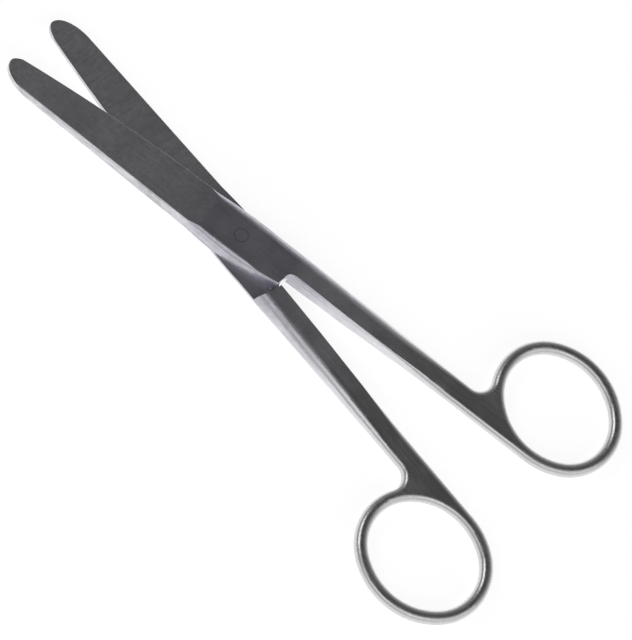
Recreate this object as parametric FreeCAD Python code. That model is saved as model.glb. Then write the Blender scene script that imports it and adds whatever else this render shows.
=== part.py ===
import FreeCAD, Part
import math
import os

from FreeCAD import Vector

os.makedirs("parts", exist_ok=True)

# Straight operating scissors, blunt/blunt, 145 mm. All lengths are in millimetres.
# Each half is modelled closed: X runs from the tips to the rings through the pivot,
# Z = 0 is the contact face, and the half lies on the +Z side of it.
# The blade's back and the box end point to -Y, the cutting edge and the shank to +Y.

# Opening of the pair
OPENING_DEG = 13.0
CONTACT_GAP = 0.03

# Blade
TIP_REACH = 58.2
TIP_ROUND_LENGTH = 7.8
TIP_OFFSET = 0.1
BLADE_END = 10.5
BLADE_STATIONS = 5
BLANK_MARGIN = 1.0
EDGE_OFFSET = 4.7
EDGE_CURVE = 0.00125
BACK_OFFSET = 4.9
BACK_TAPER = 0.026
BLADE_THICKNESS = 2.75
TIP_THICKNESS = 1.5
BLADE_EDGE_ROUND = 0.35
BLADE_BACK_ROUND = 0.5
HOLLOW_DEPTH = 0.16
HOLLOW_LAND = 0.8

# Joint
JOINT_THICKNESS = 3.0
GRIND_ALLOWANCE = 0.01
JOINT_START = 7.5
JOINT_EDGE_START = 5.3
JOINT_BACK_START = 5.15
JOINT_WIDEST = 1.0
JOINT_BACK = 5.4
JOINT_HALF_WIDTH = 5.75
JOINT_BACK_ROUND_START = 1.5
JOINT_EDGE_ROUND_START = 1.9
JOINT_BACK_ROUND = 1.9
JOINT_EDGE_ROUND = 2.6
BOX_START = 7.0
BOX_START_BACK = 4.75
BOX_RADIUS = 12.2
BOX_TAPER = 0.14
BOX_BACK_ROUND = 0.9
BOX_THROAT_RADIUS = 1.7
SHOULDER_CLEARANCE = 0.7

# Shank
SHANK_INNER = 0.2
SHANK_OUTER_END = 5.5
SHANK_END = 52.0
SHANK_INNER_ROUND = 0.15
SHANK_STATIONS = 4
RIM_HEIGHT = 0.1

# Finger ring: a flattened oval of four arcs on the centre line of the wire
RING_CENTER_X = 72.9
RING_LEAN_DEG = 12.9
RING_HALF_LENGTH = 13.6
RING_HALF_WIDTH = 12.0
RING_END_TIGHTNESS = 1.0
WIRE_WIDTH = 2.8
WIRE_ROUND = 1.3
RING_CROTCH_RADIUS = 3.0

# Pivot screw
SCREW_NECK_DIAMETER = 3.6
SCREW_THREAD_DIAMETER = 3.0
SCREW_HEAD_DIAMETER = 5.6
SCREW_HEAD_HEIGHT = 1.1
SCREW_HEAD_RECESS = 0.1
SCREW_HEAD_CLEARANCE = 0.1
SCREW_EDGE_BREAK = 0.2
SLOT_WIDTH = 0.8
SLOT_DEPTH = 0.55
RUNNING_CLEARANCE = 0.03

RING_END_RADIUS = RING_HALF_WIDTH - RING_END_TIGHTNESS
SHOULDER_RADIUS = BOX_RADIUS + SHOULDER_CLEARANCE
CUTTER_REACH = 3 * JOINT_THICKNESS
FORGED_THICKNESS = JOINT_THICKNESS + GRIND_ALLOWANCE
PIVOT_HEIGHT = JOINT_THICKNESS + CONTACT_GAP / 2


def rounded_corner(start, corner, end):
    """Quarter of an ellipse from start to end, tangent to the two sides that meet at corner."""
    curve = Part.BezierCurve()
    curve.setPoles([start, corner, end])
    curve.setWeight(2, math.sqrt(0.5))
    return curve.toShape()


def arc(center, radius, start_deg, end_deg):
    """Arc in the XY plane about center, from one angle to the other."""
    points = []
    for angle_deg in (start_deg, (start_deg + end_deg) / 2, end_deg):
        angle = math.radians(angle_deg)
        points.append(center + Vector(math.cos(angle), math.sin(angle), 0) * radius)
    return Part.Arc(*points).toShape()


def between(start, end, share):
    """Value that lies at a share of the way from start to end."""
    return start + share * (end - start)


def blade_edge(x):
    """Y of the cutting edge: a shallow parabola that closes in towards the tip."""
    return EDGE_OFFSET - EDGE_CURVE * (x + BLADE_END) ** 2


def blade_back(x):
    """Y of the blade's back: a straight taper towards the tip."""
    return -BACK_OFFSET - BACK_TAPER * (x + BLADE_END)


def blade_thickness(x):
    """Thickness of the blade, in proportion between its root and its tip."""
    return between(BLADE_THICKNESS, TIP_THICKNESS, (-x - BLADE_END) / (TIP_REACH - BLADE_END))


def half_section(x, back, edge, back_round, edge_round, thickness):
    """Section of a blade or joint: flat contact face, flat outer face, rounded sides."""
    def at(y, z):
        return Vector(x, y, z)

    return Part.Wire([
        Part.makeLine(at(back, 0), at(edge, 0)),
        Part.makeLine(at(edge, 0), at(edge, RIM_HEIGHT)),
        rounded_corner(at(edge, RIM_HEIGHT), at(edge, thickness), at(edge - edge_round, thickness)),
        Part.makeLine(at(edge - edge_round, thickness), at(back + back_round, thickness)),
        rounded_corner(at(back + back_round, thickness), at(back, thickness), at(back, RIM_HEIGHT)),
        Part.makeLine(at(back, RIM_HEIGHT), at(back, 0)),
    ])


def blade_section(x):
    """Section of the blade at x."""
    return half_section(
        x, blade_back(x), blade_edge(x), BLADE_BACK_ROUND, BLADE_EDGE_ROUND, blade_thickness(x)
    )


def shank_section(x, outer, outer_round, inner_round, half_thickness):
    """Section of the shank: flat top and bottom with rounded sides."""
    def at(y, z):
        return Vector(x, y, z)

    inner = SHANK_INNER
    top = half_thickness
    return Part.Wire([
        Part.makeLine(at(outer, -RIM_HEIGHT), at(outer, RIM_HEIGHT)),
        rounded_corner(at(outer, RIM_HEIGHT), at(outer, top), at(outer - outer_round, top)),
        Part.makeLine(at(outer - outer_round, top), at(inner + inner_round, top)),
        rounded_corner(at(inner + inner_round, top), at(inner, top), at(inner, RIM_HEIGHT)),
        Part.makeLine(at(inner, RIM_HEIGHT), at(inner, -RIM_HEIGHT)),
        rounded_corner(at(inner, -RIM_HEIGHT), at(inner, -top), at(inner + inner_round, -top)),
        Part.makeLine(at(inner + inner_round, -top), at(outer - outer_round, -top)),
        rounded_corner(at(outer - outer_round, -top), at(outer, -top), at(outer, -RIM_HEIGHT)),
    ])


def tip_blank():
    """Plan form of the blade with its blunt, rounded tip, as a tall block."""
    start = TIP_ROUND_LENGTH - TIP_REACH
    back = blade_back(start)
    edge = blade_edge(start)
    nose = Vector(-TIP_REACH, TIP_OFFSET, 0)
    margin = JOINT_HALF_WIDTH
    outline = Part.Wire([
        Part.makeLine(Vector(0, edge + margin, 0), Vector(start, edge + margin, 0)),
        Part.makeLine(Vector(start, edge + margin, 0), Vector(start, edge, 0)),
        rounded_corner(Vector(start, edge, 0), Vector(-TIP_REACH, edge, 0), nose),
        rounded_corner(nose, Vector(-TIP_REACH, back, 0), Vector(start, back, 0)),
        Part.makeLine(Vector(start, back, 0), Vector(start, back - margin, 0)),
        Part.makeLine(Vector(start, back - margin, 0), Vector(0, back - margin, 0)),
        Part.makeLine(Vector(0, back - margin, 0), Vector(0, edge + margin, 0)),
    ])
    return Part.Face(outline).extrude(Vector(0, 0, CUTTER_REACH))


def hollow_grind():
    """Shallow hollow of the blade's inner face, which leaves a land along edge and back."""
    def lens(x):
        low = Vector(x, blade_back(x) + HOLLOW_LAND, 0)
        high = Vector(x, blade_edge(x) - HOLLOW_LAND, 0)
        crown = (low + high) * 0.5 + Vector(0, 0, HOLLOW_DEPTH)
        under = Vector(0, 0, -HOLLOW_DEPTH)
        return Part.Wire([
            Part.Arc(low, crown, high).toShape(),
            Part.makeLine(high, high + under),
            Part.makeLine(high + under, low + under),
            Part.makeLine(low + under, low),
        ])

    root = -BLADE_END - HOLLOW_LAND
    middle = (root - TIP_REACH) / 2
    outer_end = TIP_ROUND_LENGTH / 2 - TIP_REACH
    return Part.makeLoft([lens(root), lens(middle), lens(outer_end)], True, False)


def make_blade():
    """Hollow-ground blade from its root to its blunt tip."""
    spacing = (TIP_REACH + BLANK_MARGIN - BLADE_END) / (BLADE_STATIONS - 1)
    sections = [blade_section(-BLADE_END - spacing * step) for step in range(BLADE_STATIONS)]
    blade = Part.makeLoft(sections, True, False)
    return blade.common(tip_blank()).cut(hollow_grind())


def joint_section(x, back, edge, back_round, edge_round):
    """Section of the joint at x, as thick as it is forged."""
    return half_section(x, -back, edge, back_round, edge_round, FORGED_THICKNESS)


def make_joint():
    """Joint plate from the blade's root to the rounded box end."""
    start = joint_section(
        -JOINT_START,
        JOINT_BACK_START,
        JOINT_EDGE_START,
        JOINT_BACK_ROUND_START,
        JOINT_EDGE_ROUND_START,
    )
    widest = joint_section(
        -JOINT_WIDEST, JOINT_BACK, JOINT_HALF_WIDTH, JOINT_BACK_ROUND, JOINT_EDGE_ROUND
    )
    end = joint_section(
        BOX_START, BOX_START_BACK, JOINT_HALF_WIDTH, BOX_BACK_ROUND, JOINT_EDGE_ROUND
    )
    neck = Part.makeLoft([blade_section(-BLADE_END), start], True, True)
    plate = Part.makeLoft([start, widest, end], True, False)

    def box_section(x):
        back = BOX_START_BACK - BOX_TAPER * (x - BOX_START)

        def at(y, z):
            return Vector(x, y, z)

        top = FORGED_THICKNESS
        middle = JOINT_HALF_WIDTH / 2
        return Part.Wire([
            Part.makeLine(at(-back, 0), at(middle, 0)),
            Part.makeLine(at(middle, 0), at(middle, top)),
            Part.makeLine(at(middle, top), at(BOX_BACK_ROUND - back, top)),
            rounded_corner(at(BOX_BACK_ROUND - back, top), at(-back, top), at(-back, RIM_HEIGHT)),
            Part.makeLine(at(-back, RIM_HEIGHT), at(-back, 0)),
        ])

    box_end = Part.makeLoft([box_section(BOX_START), box_section(BOX_RADIUS)], True, True)
    box_end = box_end.common(Part.makeCylinder(BOX_RADIUS, CUTTER_REACH))
    return [neck, plate, box_end, box_throat()]


def box_throat():
    """Concave fillet that joins the round box end to the shank's inner side."""
    radius = BOX_THROAT_RADIUS
    center_y = SHANK_INNER - radius
    center_x = math.sqrt((BOX_RADIUS + radius) ** 2 - center_y ** 2)
    center = Vector(center_x, center_y, 0)
    inward = (center * -1).normalize()
    on_box = center + inward * radius
    on_shank = center + Vector(0, radius, 0)
    halfway = center + (inward + Vector(0, 1, 0)).normalize() * radius
    cover = SHANK_INNER + SHANK_INNER_ROUND
    outline = Part.Wire([
        Part.Arc(on_box, halfway, on_shank).toShape(),
        Part.makeLine(on_shank, Vector(center_x, cover, 0)),
        Part.makeLine(Vector(center_x, cover, 0), Vector(BOX_START, cover, 0)),
        Part.makeLine(Vector(BOX_START, cover, 0), Vector(BOX_START, on_box.y, 0)),
        Part.makeLine(Vector(BOX_START, on_box.y, 0), on_box),
    ])
    return Part.Face(outline).extrude(Vector(0, 0, FORGED_THICKNESS))


def make_shank():
    """Tapered shank, stepped back to a round shoulder that clears the other box end.

    Width and thickness taper evenly; the broad outer and the sharp inner rounding hold on
    and turn into the round wire only near the ring.
    """
    def section(x, share):
        late = share ** 3
        return shank_section(
            x,
            between(JOINT_HALF_WIDTH, SHANK_OUTER_END, share),
            between(JOINT_EDGE_ROUND, WIRE_ROUND, late),
            between(SHANK_INNER_ROUND, WIRE_ROUND, late),
            between(FORGED_THICKNESS, WIRE_ROUND + RIM_HEIGHT, share),
        )

    sections = [section(BOX_START, 0)]
    for station in range(SHANK_STATIONS):
        share = station / (SHANK_STATIONS - 1)
        sections.append(section(between(SHOULDER_RADIUS, SHANK_END, share), share))
    shank = Part.makeLoft(sections, True, True)
    step = Part.makeCylinder(SHOULDER_RADIUS, CUTTER_REACH, Vector(0, 0, -CUTTER_REACH))
    return shank.cut(step)


class RingOval:
    """Four-arc oval of the finger ring, at an offset from the wire's centre line."""

    def __init__(self):
        end_shift = RING_HALF_LENGTH - RING_END_RADIUS
        self.side_radius = (
            end_shift ** 2 + RING_HALF_WIDTH ** 2 - RING_END_RADIUS ** 2
        ) / (2 * (RING_HALF_WIDTH - RING_END_RADIUS))
        side_shift = self.side_radius - RING_HALF_WIDTH
        lean = math.radians(RING_LEAN_DEG)
        along = Vector(math.cos(lean), -math.sin(lean), 0)
        across = Vector(math.sin(lean), math.cos(lean), 0)
        lowest = self.side_radius - side_shift * math.cos(lean)
        center = Vector(RING_CENTER_X, SHANK_INNER + WIRE_WIDTH / 2 + lowest, 0)
        self.far_center = center + along * end_shift
        self.near_center = center - along * end_shift
        self.low_center = center + across * side_shift
        self.high_center = center - across * side_shift
        self.half_end_deg = math.degrees(math.atan2(side_shift, end_shift))
        self.half_side_deg = 90 - self.half_end_deg

    def arcs(self, offset, low_from_deg, near_to_deg):
        """Arcs from an angle on the low side, round the far end, to an angle on the near end."""
        lean = RING_LEAN_DEG
        end_deg = self.half_end_deg
        end_radius = RING_END_RADIUS + offset
        side_radius = self.side_radius + offset
        return [
            arc(self.low_center, side_radius, low_from_deg, -lean - end_deg),
            arc(self.far_center, end_radius, -lean - end_deg, -lean + end_deg),
            arc(self.high_center, side_radius, -lean + end_deg, 180 - lean - end_deg),
            arc(self.near_center, end_radius, 180 - lean - end_deg, near_to_deg),
        ]

    def hole(self, offset):
        """Closed inner outline."""
        lean = RING_LEAN_DEG
        near_to_deg = 180 - lean + self.half_end_deg
        low_from_deg = -180 - lean + self.half_end_deg
        return Part.Wire(self.arcs(offset, low_from_deg, near_to_deg))


def make_ring():
    """Finger ring with the web that spreads the shank into it, all edges rounded."""
    oval = RingOval()
    half_width = WIRE_WIDTH / 2
    outer_radius = RING_END_RADIUS + half_width
    crotch_y = SHANK_OUTER_END + RING_CROTCH_RADIUS
    rise = oval.near_center.y - crotch_y
    run = math.sqrt((outer_radius + RING_CROTCH_RADIUS) ** 2 - rise ** 2)
    crotch = Vector(oval.near_center.x - run, crotch_y, 0)
    crotch_deg = math.degrees(math.atan2(rise, run))
    foot = Vector(oval.low_center.x, SHANK_INNER, 0)
    inner_start = Vector(SHANK_END, SHANK_INNER, 0)
    outer_start = Vector(SHANK_END, SHANK_OUTER_END, 0)
    crotch_start = Vector(crotch.x, SHANK_OUTER_END, 0)
    outline = Part.Wire(
        [Part.makeLine(inner_start, foot)]
        + oval.arcs(half_width, -90, 180 + crotch_deg)
        + [
            arc(crotch, RING_CROTCH_RADIUS, crotch_deg, -90),
            Part.makeLine(crotch_start, outer_start),
            Part.makeLine(outer_start, inner_start),
        ]
    )
    plan = Part.Face(outline).cut(Part.Face(oval.hole(-half_width)))
    half_thickness = WIRE_ROUND + RIM_HEIGHT
    plan.translate(Vector(0, 0, -half_thickness))
    plate = plan.extrude(Vector(0, 0, 2 * half_thickness))
    rims = [
        edge for edge in plate.Edges
        if edge.BoundBox.ZLength < RIM_HEIGHT and edge.BoundBox.XMax > SHANK_END + RIM_HEIGHT
    ]
    return plate.makeFillet(WIRE_ROUND, rims)


def make_half():
    """One forged half, closed, its joint ground flat, without its pivot hole."""
    pieces = make_joint() + [make_shank(), make_ring()]
    forging = make_blade().multiFuse(pieces).removeSplitter()
    grinder = Part.makeBox(
        BLADE_END + SHANK_END,
        4 * JOINT_HALF_WIDTH,
        CUTTER_REACH,
        Vector(-BLADE_END, -2 * JOINT_HALF_WIDTH, JOINT_THICKNESS),
    )
    return forging.cut(grinder)


def screw_bore(diameter, bottom, top):
    """Round cutter on the pivot axis."""
    return Part.makeCylinder(diameter / 2, top - bottom, Vector(0, 0, bottom))


def make_screw():
    """Slotted pivot screw: head in the lower half, plain neck, threaded end in the upper half."""
    head_bottom = SCREW_HEAD_RECESS
    head_top = head_bottom + SCREW_HEAD_HEIGHT
    neck_top = JOINT_THICKNESS + CONTACT_GAP
    thread_top = neck_top + JOINT_THICKNESS
    head = screw_bore(SCREW_HEAD_DIAMETER, head_bottom, head_top)
    rim = [
        edge for edge in head.Edges
        if edge.BoundBox.ZLength < RIM_HEIGHT and edge.BoundBox.ZMax < head_bottom + RIM_HEIGHT
    ]
    head = head.makeChamfer(SCREW_EDGE_BREAK, rim)
    slot = Part.makeBox(
        SCREW_HEAD_DIAMETER,
        SLOT_WIDTH,
        SLOT_DEPTH,
        Vector(-SCREW_HEAD_DIAMETER / 2, -SLOT_WIDTH / 2, head_bottom),
    )
    neck = screw_bore(SCREW_NECK_DIAMETER, head_top, neck_top)
    thread = screw_bore(SCREW_THREAD_DIAMETER, neck_top, thread_top)
    return head.cut(slot).multiFuse([neck, thread]).removeSplitter()


def make_upper_half(half):
    """Half that faces up, bored for the screw's threaded end."""
    upper = half.copy()
    upper.rotate(Vector(0, 0, 0), Vector(0, 0, 1), OPENING_DEG / 2)
    upper.translate(Vector(0, 0, PIVOT_HEIGHT + CONTACT_GAP / 2))
    return upper.cut(screw_bore(SCREW_THREAD_DIAMETER, JOINT_THICKNESS, PIVOT_HEIGHT + CUTTER_REACH))


def make_lower_half(half):
    """The same forging turned over, bored and counterbored for the screw's neck and head."""
    lower = half.copy()
    lower.rotate(Vector(0, 0, 0), Vector(1, 0, 0), 180)
    lower.rotate(Vector(0, 0, 0), Vector(0, 0, 1), -OPENING_DEG / 2)
    lower.translate(Vector(0, 0, PIVOT_HEIGHT - CONTACT_GAP / 2))
    below = -CUTTER_REACH
    above = PIVOT_HEIGHT + CUTTER_REACH
    neck = screw_bore(SCREW_NECK_DIAMETER + 2 * RUNNING_CLEARANCE, below, above)
    seat = SCREW_HEAD_RECESS + SCREW_HEAD_HEIGHT + RUNNING_CLEARANCE
    counterbore = screw_bore(SCREW_HEAD_DIAMETER + 2 * SCREW_HEAD_CLEARANCE, below, seat)
    return lower.cut(neck).cut(counterbore)


half = make_half()
parts = {
    "lower_half": make_lower_half(half),
    "upper_half": make_upper_half(half),
    "pivot_screw": make_screw(),
}

for name, shape in parts.items():
    print(name, shape.isValid(), len(shape.Solids), round(shape.Volume, 1))
    shape.exportStep("parts/" + name + ".step")
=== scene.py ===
import logging
import math
from dataclasses import dataclass
from enum import Enum

import bpy
import numpy as np
from mathutils import Matrix, Vector

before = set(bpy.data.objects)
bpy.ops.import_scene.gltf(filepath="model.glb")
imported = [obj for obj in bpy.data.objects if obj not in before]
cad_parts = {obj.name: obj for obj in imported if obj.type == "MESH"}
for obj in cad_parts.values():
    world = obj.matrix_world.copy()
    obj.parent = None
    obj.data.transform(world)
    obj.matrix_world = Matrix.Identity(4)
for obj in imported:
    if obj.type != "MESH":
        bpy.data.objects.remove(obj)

Tree = bpy.types.NodeTree
Socket = bpy.types.NodeSocket

LOG = logging.getLogger("scissors")
MM = 0.001
IMAGE_WIDTH_PX = 632
IMAGE_HEIGHT_PX = 640
# Angle between the halves at rest, and height of the plane between their inner faces.
OPENING_DEG = 13.0
PIVOT_HEIGHT_MM = 3.015


class Grain(Enum):
    """Direction in which a surface was ground or turned."""

    ALONG = "along the half"
    ROUND = "round the screw's axis"


def linear(hex_color: str) -> tuple[float, float, float, float]:
    """Turn an sRGB hex colour into the linear colour that a shader wants.

    Dark values are divided by 12.92; the others follow the power curve of the sRGB standard.

    Args:
        hex_color: Colour as "#rrggbb".

    Returns:
        Linear red, green, blue and an alpha of one.
    """
    srgb = np.array([int(hex_color[i:i + 2], 16) for i in (1, 3, 5)]) / 255.0
    rgb = np.where(srgb <= 0.04045, srgb / 12.92, ((srgb + 0.055) / 1.055) ** 2.4)
    return (*rgb.tolist(), 1.0)


def add(tree: Tree, kind: str, inputs: dict | None = None, **settings: object) -> bpy.types.Node:
    """Add a node with its settings and links.

    Args:
        tree: Node tree that gets the node.
        kind: Type name of the node.
        inputs: Value or output socket for each input, by the input's name or number.
        settings: Properties of the node.

    Returns:
        The new node.
    """
    node = tree.nodes.new(kind)
    for name, value in settings.items():
        setattr(node, name, value)
    for key, value in (inputs or {}).items():
        if isinstance(value, Socket):
            tree.links.new(value, node.inputs[key])
        else:
            node.inputs[key].default_value = value
    return node


@dataclass(frozen=True)
class SteelFinish:
    """Stainless steel with the marks of how it was made.

    Blade and joint are ground on a belt and bead-blasted: a soft, faintly violet grey with fine
    streaks and clouds. Towards the ring the steel is polished: neutral, brighter and sharper.
    Places along the half are measured from the pivot, towards the ring.
    """

    name: str
    # Clean steel of the ground blade, the blasted joint, the shank and the polished ring.
    zones: tuple[tuple[float, str], ...] = (
        (-13.0, "#ecebef"),
        (-8.0, "#d4d0dc"),
        (12.0, "#d4d0dc"),
        (22.0, "#e7e5eb"),
        (62.0, "#dcdcdc"),
    )
    # Steel where streaks, mottling and clouds have taken its shine.
    dull_color: str = "#b1b0b6"
    # Roughness of polished steel, and what the marks and the satin stretch add to it.
    roughness: float = 0.2
    roughness_of_streaks: float = 0.06
    roughness_of_clouds: float = 0.08
    roughness_of_satin: float = 0.08
    # The satin stretch ends and the polish is full at these places along the half.
    satin_until_mm: float = 8.0
    polished_from_mm: float = 45.0
    marks_left_by_polish: float = 0.25
    # A real belt leaves streaks 0.1 mm apart; they are drawn as coarse as the render can show.
    streak_pitch_mm: float = 0.45
    streak_length_mm: float = 8.0
    streak_depth_mm: float = 0.012
    streak_share: float = 0.5
    # Uneven pressing of the blanks leaves low waves, and handling leaves faint clouds.
    mottle_mm: float = 1.1
    mottle_depth_mm: float = 0.01
    mottle_share: float = 0.2
    cloud_mm: float = 9.0
    cloud_share: float = 0.3
    # Noise between these levels is stretched to the whole range from zero to one.
    patch_low: float = 0.38
    patch_high: float = 0.62
    patch_detail: float = 3.0
    patch_roughness: float = 0.6
    # How the half lies at rest, and where and which way its hollow-ground inner face looks.
    turn_deg: float = 0.0
    inner_side: float = 0.0
    inner_face_cosine: float = 0.95
    grind_until_mm: float = -12.0
    grain: Grain = Grain.ALONG
    # Painted shade in the hairline gap at the screw's edge, drawn as a dark line: the head's below the
    # inner faces, the end's above them.
    painted_gap_shade_color: str = "#727176"
    painted_gap_shade_width_mm: float = 0.14
    painted_gap_shade_solid_mm: float = 0.14 / 3.0
    painted_gap_shade_change_mm: float = 1.0
    head_radius_mm: float = 2.8
    end_radius_mm: float = 1.5

    def material(self) -> bpy.types.Material:
        """Make the material.

        Returns:
            A metal whose colour, roughness and bump follow streaks, mottling and clouds.
        """
        material = bpy.data.materials.new(self.name)
        material.use_nodes = True
        tree = material.node_tree
        tree.nodes.clear()
        place = self.place(tree)
        along = add(tree, "ShaderNodeSeparateXYZ", {"Vector": place}).outputs["X"]
        streaks = self.streaks(tree, place)
        mottle = self.spread(tree, place, self.mottle_mm)
        clouds = self.spread(tree, place, self.cloud_mm)
        polish = add(
            tree,
            "ShaderNodeMapRange",
            {"Value": along, "From Min": self.satin_until_mm, "From Max": self.polished_from_mm},
            interpolation_type="SMOOTHSTEP",
        ).outputs["Result"]
        marked = add(
            tree,
            "ShaderNodeMapRange",
            {"Value": polish, "To Min": 1.0, "To Max": self.marks_left_by_polish},
        ).outputs["Result"]
        dull = self.dullness(tree, streaks, mottle, clouds, marked)
        steel = add(
            tree,
            "ShaderNodeBsdfPrincipled",
            {"Base Color": self.color(tree, place, along, dull),
             "Metallic": 1.0,
             "Roughness": self.softness(tree, streaks, clouds, polish),
             "Normal": self.relief(tree, streaks, mottle, marked)},
        )
        add(tree, "ShaderNodeOutputMaterial", {"Surface": steel.outputs["BSDF"]})
        return material

    def place(self, tree: Tree) -> Socket:
        """Position on the piece in millimetres, with X along the half.

        Args:
            tree: Node tree of the material.

        Returns:
            The position as a socket.
        """
        return add(
            tree,
            "ShaderNodeMapping",
            {"Vector": add(tree, "ShaderNodeTexCoord").outputs["Object"],
             "Rotation": (0.0, 0.0, math.radians(-self.turn_deg)),
             "Scale": (1.0 / MM, 1.0 / MM, 1.0 / MM)},
        ).outputs["Vector"]

    def dullness(
        self, tree: Tree, streaks: Socket, mottle: Socket, clouds: Socket, marked: Socket
    ) -> Socket:
        """Add up streaks, mottling and clouds, each by its share, and fade them where polished.

        Args:
            tree: Node tree of the material.
            streaks: Share of the streaks.
            mottle: Share of the mottling.
            clouds: Share of the clouds.
            marked: How much of the marks the polish has left.

        Returns:
            Share of dull steel.
        """
        clouded = add(tree, "ShaderNodeMath", {0: clouds, 1: self.cloud_share}, operation="MULTIPLY")
        mottled = add(
            tree,
            "ShaderNodeMath",
            {0: mottle, 1: self.mottle_share, 2: clouded.outputs["Value"]},
            operation="MULTIPLY_ADD",
        )
        share = add(
            tree,
            "ShaderNodeMath",
            {0: streaks, 1: self.streak_share, 2: mottled.outputs["Value"]},
            operation="MULTIPLY_ADD",
        )
        return add(
            tree,
            "ShaderNodeMath",
            {0: share.outputs["Value"], 1: marked},
            operation="MULTIPLY",
        ).outputs["Value"]

    def color(self, tree: Tree, place: Socket, along: Socket, dull: Socket) -> Socket:
        """Colour of the steel: clean, dulled by its marks, and on a screw darkened at its edge by painted
        shade.

        Args:
            tree: Node tree of the material.
            place: Position in millimetres.
            along: Place along the half in millimetres.
            dull: Share of dull steel.

        Returns:
            The colour as a socket.
        """
        marked = add(
            tree,
            "ShaderNodeMix",
            {"Factor": dull, "A": self.zone_color(tree, along), "B": linear(self.dull_color)},
            data_type="RGBA",
        ).outputs["Result"]
        if self.grain is Grain.ALONG:
            return marked
        # Painted shade: a dark ring where the screw meets its bore, in place of the shade in that gap.
        return add(
            tree,
            "ShaderNodeMix",
            {"Factor": self.painted_gap_shade(tree, place), "A": marked, "B": linear(self.painted_gap_shade_color)},
            data_type="RGBA",
        ).outputs["Result"]

    def zone_color(self, tree: Tree, along: Socket) -> Socket:
        """Colour of the clean steel, which changes from zone to zone along the half.

        Args:
            tree: Node tree of the material.
            along: Place along the half in millimetres.

        Returns:
            The colour as a socket.
        """
        first = self.zones[0][0]
        last = self.zones[-1][0]
        share = add(tree, "ShaderNodeMapRange", {"Value": along, "From Min": first, "From Max": last})
        ramp = add(tree, "ShaderNodeValToRGB", {"Fac": share.outputs["Result"]})
        stops = ramp.color_ramp.elements
        stops[-1].color = linear(self.zones[-1][1])
        stops[0].color = linear(self.zones[0][1])
        for start, color in self.zones[1:-1]:
            stops.new((start - first) / (last - first)).color = linear(color)
        return ramp.outputs["Color"]

    def softness(self, tree: Tree, streaks: Socket, clouds: Socket, polish: Socket) -> Socket:
        """Roughness of the steel: less towards the ring, more in streaks and clouds.

        Args:
            tree: Node tree of the material.
            streaks: Share of the streaks.
            clouds: Share of the clouds.
            polish: Share of the polish.

        Returns:
            The roughness as a socket.
        """
        satin = add(
            tree,
            "ShaderNodeMapRange",
            {"Value": polish, "To Min": self.roughness + self.roughness_of_satin, "To Max": self.roughness},
        )
        streaky = add(
            tree,
            "ShaderNodeMath",
            {0: streaks, 1: self.roughness_of_streaks, 2: satin.outputs["Result"]},
            operation="MULTIPLY_ADD",
        )
        return add(
            tree,
            "ShaderNodeMath",
            {0: clouds, 1: self.roughness_of_clouds, 2: streaky.outputs["Value"]},
            operation="MULTIPLY_ADD",
        ).outputs["Value"]

    def relief(self, tree: Tree, streaks: Socket, mottle: Socket, marked: Socket) -> Socket:
        """Relief of the steel: low waves with fine streaks scored into them.

        Args:
            tree: Node tree of the material.
            streaks: Share of the streaks.
            mottle: Share of the mottling.
            marked: How much of the marks the polish has left.

        Returns:
            The direction of the surface as a socket.
        """
        waves = add(
            tree,
            "ShaderNodeBump",
            {"Height": mottle, "Distance": self.mottle_depth_mm * MM, "Strength": marked},
        )
        return add(
            tree,
            "ShaderNodeBump",
            {"Height": streaks, "Distance": self.streak_depth_mm * MM, "Strength": marked,
             "Normal": waves.outputs["Normal"]},
        ).outputs["Normal"]

    def spread(self, tree: Tree, place: Socket, size_mm: float) -> Socket:
        """Soft irregular patches of one size.

        Args:
            tree: Node tree of the material.
            place: Position in millimetres, stretched where the patches are.
            size_mm: Width of a patch.

        Returns:
            Share from zero to one.
        """
        noise = add(
            tree,
            "ShaderNodeTexNoise",
            {"Vector": place, "Scale": 1.0 / size_mm, "Detail": self.patch_detail,
             "Roughness": self.patch_roughness},
        )
        return add(
            tree,
            "ShaderNodeMapRange",
            {"Value": noise.outputs["Fac"], "From Min": self.patch_low, "From Max": self.patch_high},
        ).outputs["Result"]

    def streaks(self, tree: Tree, place: Socket) -> Socket:
        """Fine streaks: patches stretched along the way the wheel ran.

        The forged faces are streaked along the half and the hollow-ground inner face across it.
        On the screw they run round its axis.

        Args:
            tree: Node tree of the material.
            place: Position in millimetres, turned with the half.

        Returns:
            Share from zero to one.
        """
        if self.grain is Grain.ROUND:
            rings = add(tree, "ShaderNodeCombineXYZ", {0: self.radius(tree, place)})
            return self.spread(tree, rings.outputs["Vector"], self.streak_pitch_mm)
        stretch = self.streak_pitch_mm / self.streak_length_mm
        belt = add(tree, "ShaderNodeMapping", {"Vector": place, "Scale": (stretch, 1.0, 1.0)})
        wheel = add(tree, "ShaderNodeMapping", {"Vector": place, "Scale": (1.0, stretch, stretch)})
        return add(
            tree,
            "ShaderNodeMix",
            {"Factor": self.on_inner_face(tree, place),
             "A": self.spread(tree, belt.outputs["Vector"], self.streak_pitch_mm),
             "B": self.spread(tree, wheel.outputs["Vector"], self.streak_pitch_mm)},
        ).outputs["Result"]

    def radius(self, tree: Tree, place: Socket) -> Socket:
        """Distance from the screw's axis.

        Args:
            tree: Node tree of the material.
            place: Position in millimetres.

        Returns:
            The distance in millimetres.
        """
        apart = add(tree, "ShaderNodeSeparateXYZ", {"Vector": place})
        level = add(tree, "ShaderNodeCombineXYZ", {0: apart.outputs["X"], 1: apart.outputs["Y"]})
        return add(
            tree,
            "ShaderNodeVectorMath",
            {0: level.outputs["Vector"]},
            operation="LENGTH",
        ).outputs["Value"]

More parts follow.
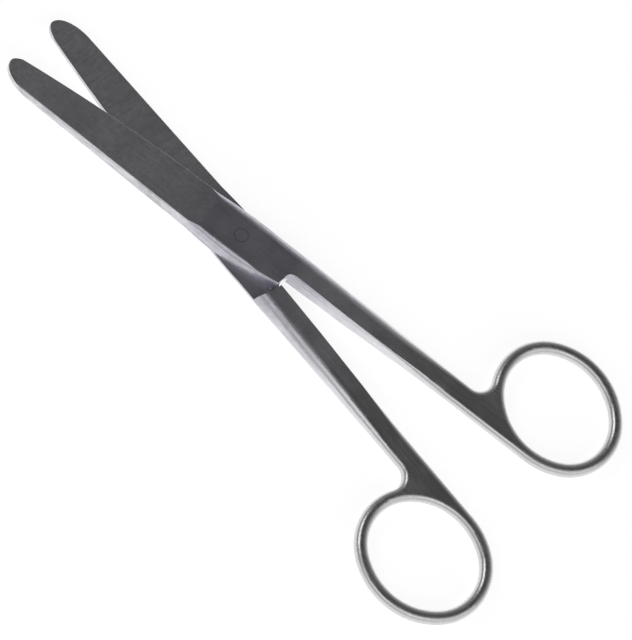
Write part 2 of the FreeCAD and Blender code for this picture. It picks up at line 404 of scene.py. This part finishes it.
    def painted_gap_shade(self, tree: Tree, place: Socket) -> Socket:
        """Painted shade: a fine dark line in the gap where the screw meets its bore, at the head's edge and
        at the end's.

        Args:
            tree: Node tree of the material.
            place: Position in millimetres.

        Returns:
            Share from zero to one.
        """
        height = add(tree, "ShaderNodeSeparateXYZ", {"Vector": place})
        edge = add(
            tree,
            "ShaderNodeMapRange",
            {"Value": height.outputs["Z"],
             "From Min": PIVOT_HEIGHT_MM - self.painted_gap_shade_change_mm,
             "From Max": PIVOT_HEIGHT_MM + self.painted_gap_shade_change_mm,
             "To Min": self.head_radius_mm,
             "To Max": self.end_radius_mm},
        )
        beyond = add(
            tree,
            "ShaderNodeMath",
            {0: self.radius(tree, place), 1: edge.outputs["Result"]},
            operation="SUBTRACT",
        )
        return add(
            tree,
            "ShaderNodeMapRange",
            {"Value": beyond.outputs["Value"],
             "From Min": -self.painted_gap_shade_width_mm,
             "From Max": -self.painted_gap_shade_solid_mm},
        ).outputs["Result"]

    def on_inner_face(self, tree: Tree, place: Socket) -> Socket:
        """One on the blade's hollow-ground inner face, else zero.

        Args:
            tree: Node tree of the material.
            place: Position in millimetres, turned with the half.

        Returns:
            The share as a socket.
        """
        normal = add(tree, "ShaderNodeTexCoord").outputs["Normal"]
        facing = add(tree, "ShaderNodeSeparateXYZ", {"Vector": normal})
        inward = add(
            tree,
            "ShaderNodeMath",
            {0: facing.outputs["Z"], 1: self.inner_side},
            operation="MULTIPLY",
        )
        flat = add(
            tree,
            "ShaderNodeMath",
            {0: inward.outputs["Value"], 1: self.inner_face_cosine},
            operation="GREATER_THAN",
        )
        reach = add(tree, "ShaderNodeSeparateXYZ", {"Vector": place})
        blade = add(
            tree,
            "ShaderNodeMath",
            {0: reach.outputs["X"], 1: self.grind_until_mm},
            operation="LESS_THAN",
        )
        return add(
            tree,
            "ShaderNodeMath",
            {0: flat.outputs["Value"], 1: blade.outputs["Value"]},
            operation="MULTIPLY",
        ).outputs["Value"]


@dataclass
class SmoothShading:
    """Shading of a carried-over solid: smooth over its curves, crisp at its edges."""

    name: str = "smooth_curves"
    weld_distance_mm: float = 0.0005
    crease_deg: float = 24.0
    flat_face_weight: int = 80

    def group(self) -> Tree:
        """Make the geometry node group that welds, smooths and marks the edges.

        Returns:
            The node group.
        """
        tree = bpy.data.node_groups.new(self.name, "GeometryNodeTree")
        tree.interface.new_socket("Geometry", in_out="INPUT", socket_type="NodeSocketGeometry")
        tree.interface.new_socket("Geometry", in_out="OUTPUT", socket_type="NodeSocketGeometry")
        source = add(tree, "NodeGroupInput")
        welded = add(
            tree,
            "GeometryNodeMergeByDistance",
            {"Geometry": source.outputs[0], "Distance": self.weld_distance_mm * MM},
        )
        smooth = add(
            tree,
            "GeometryNodeSetShadeSmooth",
            {"Geometry": welded.outputs["Geometry"], "Shade Smooth": True},
            domain="FACE",
        )
        angle = add(tree, "GeometryNodeInputMeshEdgeAngle")
        crease = add(
            tree,
            "ShaderNodeMath",
            {0: angle.outputs["Unsigned Angle"], 1: math.radians(self.crease_deg)},
            operation="GREATER_THAN",
        )
        crisp = add(
            tree,
            "GeometryNodeSetShadeSmooth",
            {"Geometry": smooth.outputs["Geometry"],
             "Selection": crease.outputs["Value"],
             "Shade Smooth": False},
            domain="EDGE",
        )
        add(tree, "NodeGroupOutput", {0: crisp.outputs["Geometry"]})
        return tree

    def dress(self, piece: bpy.types.Object, tree: Tree) -> None:
        """Put the shading on a piece.

        Args:
            piece: Object to shade.
            tree: The group that group() made.
        """
        shading = piece.modifiers.new(self.name, "NODES")
        shading.node_group = tree
        weighted = piece.modifiers.new("flat_faces_stay_flat", "WEIGHTED_NORMAL")
        weighted.keep_sharp = True
        weighted.weight = self.flat_face_weight


@dataclass
class SteelPiece:
    """Steel piece carried over from the CAD model, which keeps its shape."""

    node: str
    finish: SteelFinish

    def dress(self, shading: SmoothShading, tree: Tree) -> bpy.types.Object:
        """Give the piece its steel.

        Args:
            shading: How curves and edges are shaded.
            tree: Node group of that shading.

        Returns:
            The piece's object.
        """
        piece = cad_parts[self.node]
        piece.data.materials.clear()
        piece.data.materials.append(self.finish.material())
        shading.dress(piece, tree)
        return piece


@dataclass
class ForgedHalf(SteelPiece):
    """One forged half of the pair: blade, joint, shank and finger ring in one."""


@dataclass
class PivotScrew(SteelPiece):
    """Turned screw that holds the halves together."""

    node: str = "pivot_screw"
    # Stainless steel turned on a lathe: fine rings round the axis, and a thin dark line of painted shade
    # where the screw meets its bore, so that its flush end hardly shows.
    finish: SteelFinish = SteelFinish(
        name="turned_screw_steel",
        streak_pitch_mm=0.3,
        grain=Grain.ROUND,
    )


@dataclass(frozen=True)
class SoftLamp:
    """Rectangular soft lamp that faces the pivot."""

    name: str
    toward: tuple[float, float, float]
    width: float
    depth: float
    radiance: float
    distance: float = 1.2

    def build(self) -> None:
        """Hang the lamp: its power is radiance times pi times its area."""
        toward = Vector(self.toward).normalized()
        data = bpy.data.lights.new(self.name, "AREA")
        data.shape = "RECTANGLE"
        data.size = self.width
        data.size_y = self.depth
        data.energy = self.radiance * math.pi * self.width * self.depth
        lamp = bpy.data.objects.new(self.name, data)
        lamp.location = toward * self.distance
        lamp.rotation_euler = toward.to_track_quat("Z", "Y").to_euler()
        lamp.visible_camera = False
        bpy.context.scene.collection.objects.link(lamp)


@dataclass
class Studio:
    """White table in a light tent that is open, and so dark, high behind the object."""

    floor_width: float = 1.6
    floor_steps: int = 40
    floor_gap: float = 0.05 * MM
    floor_color: str = "#b4b4b4"
    # Glow that only the eye and reflections see: with the floor's light it makes white.
    floor_lift: float = 0.79
    # Direction of the tent's opening, the levels there and square to it, and how much lighter
    # the side of the rings is than the middle.
    opening: tuple[float, float, float] = (0.0, 0.14, 0.99)
    opening_level: float = 0.05
    tent_level: float = 0.78
    ring_side_gain: float = 0.35
    lamps: tuple[SoftLamp, ...] = (
        SoftLamp("near_side_lamp", (0.1, -0.67, 0.74), width=1.6, depth=0.6, radiance=0.65),
        SoftLamp("tip_side_lamp", (-0.62, -0.1, 0.75), width=0.7, depth=0.6, radiance=1.4),
        SoftLamp("ring_side_lamp", (0.75, -0.1, 0.75), width=1.0, depth=1.0, radiance=0.5),
    )

    def floor(self) -> None:
        """Lay the flat sheet: one height, a hair under the object, over a grid of two coordinates."""
        row = self.floor_steps + 1
        line = np.linspace(-self.floor_width / 2, self.floor_width / 2, row)
        across, along = np.meshgrid(line, line, indexing="ij")
        points = np.stack([across, along, np.full_like(across, -self.floor_gap)], axis=-1).reshape(-1, 3)
        corner = np.arange(row ** 2).reshape(row, row)[:-1, :-1].ravel()
        quads = np.stack([corner, corner + row, corner + row + 1, corner + 1], axis=1)
        mesh = bpy.data.meshes.new("table_top")
        mesh.from_pydata(points.tolist(), [], quads.tolist())
        mesh.materials.append(self.floor_material())
        table = bpy.data.objects.new("table_top", mesh)
        bpy.context.scene.collection.objects.link(table)

    def seen(self, tree: Tree) -> Socket:
        """One for rays from the camera, from a reflection or through glass, else zero.

        Args:
            tree: Node tree that asks.

        Returns:
            The share as a socket.
        """
        path = add(tree, "ShaderNodeLightPath")
        mirrored = add(
            tree,
            "ShaderNodeMath",
            {0: path.outputs["Is Camera Ray"], 1: path.outputs["Is Glossy Ray"]},
            operation="MAXIMUM",
        )
        return add(
            tree,
            "ShaderNodeMath",
            {0: mirrored.outputs["Value"], 1: path.outputs["Is Transmission Ray"]},
            operation="MAXIMUM",
        ).outputs["Value"]

    def floor_material(self) -> bpy.types.Material:
        """Matt painted table top: an even white to the eye that keeps a soft shadow.

        Returns:
            The material.
        """
        material = bpy.data.materials.new("white_table_top")
        material.use_nodes = True
        tree = material.node_tree
        tree.nodes.clear()
        matt = add(tree, "ShaderNodeBsdfDiffuse", {"Color": linear(self.floor_color)})
        lift = add(
            tree,
            "ShaderNodeMath",
            {0: self.seen(tree), 1: self.floor_lift},
            operation="MULTIPLY",
        )
        glow = add(tree, "ShaderNodeEmission", {"Strength": lift.outputs["Value"]})
        both = add(tree, "ShaderNodeAddShader", {0: matt.outputs[0], 1: glow.outputs[0]})
        add(tree, "ShaderNodeOutputMaterial", {"Surface": both.outputs[0]})
        return material

    def tent(self) -> None:
        """Light the tent: its level grows with one minus the cosine of the angle from the opening."""
        world = bpy.data.worlds.new("light_tent")
        world.use_nodes = True
        tree = world.node_tree
        tree.nodes.clear()
        where = add(tree, "ShaderNodeTexCoord").outputs["Generated"]
        cosine = add(tree, "ShaderNodeVectorMath", {0: where, 1: self.opening}, operation="DOT_PRODUCT")
        level = add(
            tree,
            "ShaderNodeMapRange",
            {"Value": cosine.outputs["Value"], "From Min": 1.0, "From Max": 0.0,
             "To Min": self.opening_level, "To Max": self.tent_level},
            clamp=False,
        )
        side = add(tree, "ShaderNodeSeparateXYZ", {"Vector": where})
        gain = add(
            tree,
            "ShaderNodeMath",
            {0: side.outputs["X"], 1: self.ring_side_gain, 2: 1.0},
            operation="MULTIPLY_ADD",
        )
        light = add(
            tree,
            "ShaderNodeMath",
            {0: level.outputs["Result"], 1: gain.outputs["Value"]},
            operation="MULTIPLY",
        )
        walls = add(tree, "ShaderNodeBackground", {"Strength": light.outputs["Value"]})
        add(tree, "ShaderNodeOutputWorld", {"Surface": walls.outputs[0]})
        bpy.context.scene.world = world

    def build(self) -> None:
        """Set up table, tent and lamps."""
        self.floor()
        self.tent()
        for lamp in self.lamps:
            lamp.build()


@dataclass
class ViewPoint:
    """Camera of the photograph: high over the near side, turned about its own axis."""

    tilt_deg: float = 23.28
    turn_deg: float = 43.7
    pixels_per_mm: float = 4.943
    pivot_px: tuple[float, float] = (237.606, 239.66)
    distance_mm: float = 753.0
    sensor_mm: float = 36.0
    nearest: float = 0.01
    farthest: float = 10.0

    def build(self) -> None:
        """Place the camera so that the pivot falls on its pixel of the photograph."""
        tilt = math.radians(self.tilt_deg)
        turn = math.radians(self.turn_deg)
        level = Vector((1.0, 0.0, 0.0))
        rising = Vector((0.0, math.cos(tilt), math.sin(tilt)))
        back = Vector((0.0, -math.sin(tilt), math.cos(tilt)))
        right = level * math.cos(turn) + rising * math.sin(turn)
        up = rising * math.cos(turn) - level * math.sin(turn)
        shift_right = (IMAGE_WIDTH_PX / 2 - self.pivot_px[0]) / self.pixels_per_mm
        shift_up = (self.pivot_px[1] - IMAGE_HEIGHT_PX / 2) / self.pixels_per_mm
        pivot = Vector((0.0, 0.0, PIVOT_HEIGHT_MM))
        place = pivot + back * self.distance_mm + right * shift_right + up * shift_up
        data = bpy.data.cameras.new("camera")
        data.sensor_fit = "HORIZONTAL"
        data.sensor_width = self.sensor_mm
        data.lens = self.pixels_per_mm * self.distance_mm / IMAGE_WIDTH_PX * self.sensor_mm
        data.clip_start = self.nearest
        data.clip_end = self.farthest
        camera = bpy.data.objects.new("camera", data)
        turned = Matrix((right, up, back)).transposed().to_4x4()
        camera.matrix_world = Matrix.Translation(place * MM) @ turned
        bpy.context.scene.collection.objects.link(camera)
        bpy.context.scene.camera = camera


def main() -> None:
    """Build the scene: camera, studio and the three dressed pieces."""
    logging.basicConfig(level=logging.INFO, format="%(name)s: %(message)s")
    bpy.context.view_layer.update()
    ViewPoint().build()
    Studio().build()
    shading = SmoothShading()
    group = shading.group()
    # Forged stainless steel, ground on a belt, bead-blasted to a satin and polished at the ring:
    # dark flats with fine streaks along each half, and sides that catch the light.
    upper_steel = SteelFinish(name="satin_ground_steel_upper", turn_deg=OPENING_DEG / 2, inner_side=-1.0)
    lower_steel = SteelFinish(name="satin_ground_steel_lower", turn_deg=-OPENING_DEG / 2, inner_side=1.0)
    parts = [
        ForgedHalf("upper_half", upper_steel),
        ForgedHalf("lower_half", lower_steel),
        PivotScrew(),
    ]
    for part in parts:
        piece = part.dress(shading, group)
        LOG.info("%s dressed in %s", piece.name, piece.data.materials[0].name)
    bpy.context.scene.view_settings.view_transform = "Standard"


if __name__ == "__main__":
    main()
